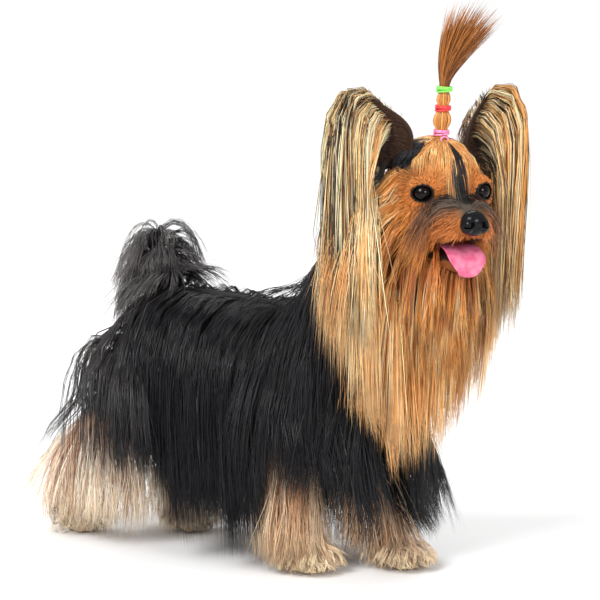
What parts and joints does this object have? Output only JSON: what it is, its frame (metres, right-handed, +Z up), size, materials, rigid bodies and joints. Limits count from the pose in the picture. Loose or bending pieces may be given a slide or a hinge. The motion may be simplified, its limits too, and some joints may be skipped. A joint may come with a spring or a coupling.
{
  "type": "yorkshire terrier",
  "caption": "Life-size still model of a Yorkshire terrier standing with its head turned, in full long coat, its forelock tied up in coloured bands.",
  "frame": {"origin": "on the floor, under the middle of the whole model's outline", "axes": "+X towards the dog's front along its back, +Y to its left, +Z up"},
  "size_m": [0.4814, 0.1933, 0.4505],
  "materials": {
    "black_coat": "long silky steel-black hair with a blue-grey sheen",
    "gold_coat": "long silky golden-tan hair, darker at the roots",
    "ear_coat": "cup of dark brown skin with long hair streaked black, grey and cream",
    "topknot_hair": "red-brown hair gathered into a tied brush",
    "tan_coat": "pale tan soft wavy hair",
    "grey_coat": "charcoal hair with light grey ends",
    "eye": "wet dark brown, glossy",
    "nose": "black pebbled leather, moist",
    "tongue": "moist pink",
    "pink_band": "pink elastic hair band",
    "red_band": "red and white elastic hair band",
    "green_band": "light green elastic hair band"
  },
  "bodies": {
    "root": {"band_lower": "pink_band", "band_middle": "red_band", "band_upper": "green_band", "ear_left": "ear_coat", "ear_right": "ear_coat", "eye_left": "eye", "eye_right": "eye", "front_leg_left": "tan_coat", "front_leg_right": "tan_coat", "head": "gold_coat", "hind_leg_left": "tan_coat", "hind_leg_right": "tan_coat", "lower_jaw": "gold_coat", "neck": "gold_coat", "nose": "nose", "tail": "grey_coat", "tongue": "tongue", "topknot": "topknot_hair", "torso_left": "black_coat", "torso_right": "black_coat"}
  },
  "joints": []
}
